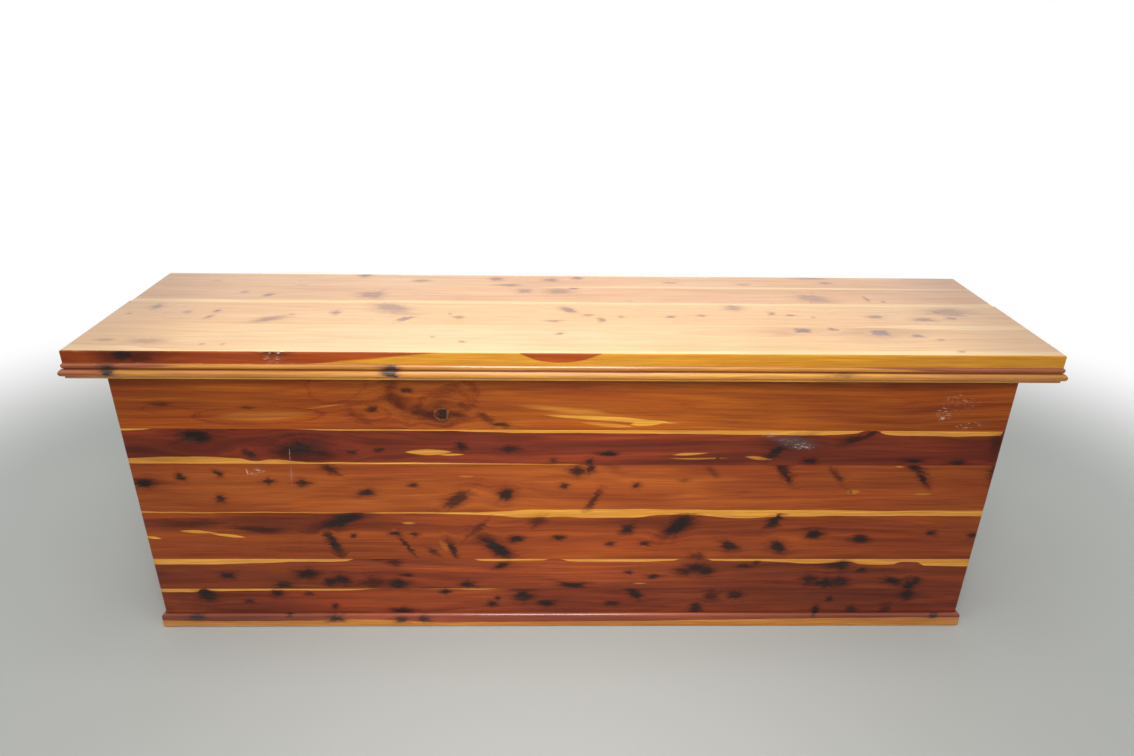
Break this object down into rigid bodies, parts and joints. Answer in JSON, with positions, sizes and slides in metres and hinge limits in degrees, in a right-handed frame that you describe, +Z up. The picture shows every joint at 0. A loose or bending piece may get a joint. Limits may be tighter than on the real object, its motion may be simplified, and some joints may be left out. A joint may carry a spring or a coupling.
{
  "type": "blanket chest",
  "caption": "Long cedar blanket chest of edge-glued planks, with a hinged overhanging lid, moulded lid rim and plain foot moulding.",
  "frame": {"origin": "on the floor, in the middle of the chest's overall box", "axes": "+X along the chest to the right as seen from the front, +Y from the front to the back, +Z up"},
  "size_m": [1.847, 0.4654, 0.6753],
  "materials": {
    "front_cedar": "red cedar heartwood, oiled and varnished to a satin gloss",
    "wall_cedar": "red cedar heartwood, varnished, satin",
    "lid_cedar": "red cedar, varnished, satin gloss",
    "moulding_cedar": "red cedar sapwood and heartwood, varnished, satin",
    "inner_cedar": "bare planed cedar, matt",
    "brass": "rolled brass, slightly dull"
  },
  "bodies": {
    "chest": {"front_plank_1": "front_cedar", "front_plank_2": "front_cedar", "front_plank_3": "front_cedar", "front_plank_4": "front_cedar", "front_plank_5": "front_cedar", "front_plank_6": "front_cedar", "back_plank_1": "wall_cedar", "back_plank_2": "wall_cedar", "back_plank_3": "wall_cedar", "back_plank_4": "wall_cedar", "back_plank_5": "wall_cedar", "left_end_plank_1": "wall_cedar", "left_end_plank_2": "wall_cedar", "left_end_plank_3": "wall_cedar", "left_end_plank_4": "wall_cedar", "left_end_plank_5": "wall_cedar", "right_end_plank_1": "wall_cedar", "right_end_plank_2": "wall_cedar", "right_end_plank_3": "wall_cedar", "right_end_plank_4": "wall_cedar", "right_end_plank_5": "wall_cedar", "corner_post_front_left": "inner_cedar", "corner_post_front_right": "inner_cedar", "corner_post_back_right": "inner_cedar", "corner_post_back_left": "inner_cedar", "bottom_cleat_front": "inner_cedar", "bottom_cleat_back": "inner_cedar", "bottom_cleat_left": "inner_cedar", "bottom_cleat_right": "inner_cedar", "bottom_batten_1": "inner_cedar", "bottom_batten_2": "inner_cedar", "bottom_plank_1": "inner_cedar", "bottom_plank_2": "inner_cedar", "bottom_plank_3": "inner_cedar", "base_moulding_front": "moulding_cedar", "base_moulding_right": "moulding_cedar", "base_moulding_left": "moulding_cedar", "hinge_1_body_leaf": "brass", "hinge_1_pin": "brass", "hinge_2_body_leaf": "brass", "hinge_2_pin": "brass", "hinge_3_body_leaf": "brass", "hinge_3_pin": "brass"},
    "lid": {"lid_plank_1": "lid_cedar", "lid_plank_2": "lid_cedar", "lid_plank_3": "lid_cedar", "lid_plank_4": "lid_cedar", "lid_batten_left": "inner_cedar", "lid_batten_middle": "inner_cedar", "lid_batten_right": "inner_cedar", "lid_moulding_front": "moulding_cedar", "lid_moulding_right": "moulding_cedar", "lid_moulding_left": "moulding_cedar", "hinge_1_lid_leaf": "brass", "hinge_2_lid_leaf": "brass", "hinge_3_lid_leaf": "brass"}
  },
  "joints": [
    {"name": "lid_hinge", "type": "hinge", "parent": "chest", "child": "lid", "pos_m": [0, 0.20745, 0.6479], "axis": [-1, 0, 0], "range_deg": [0, 105]}
  ]
}
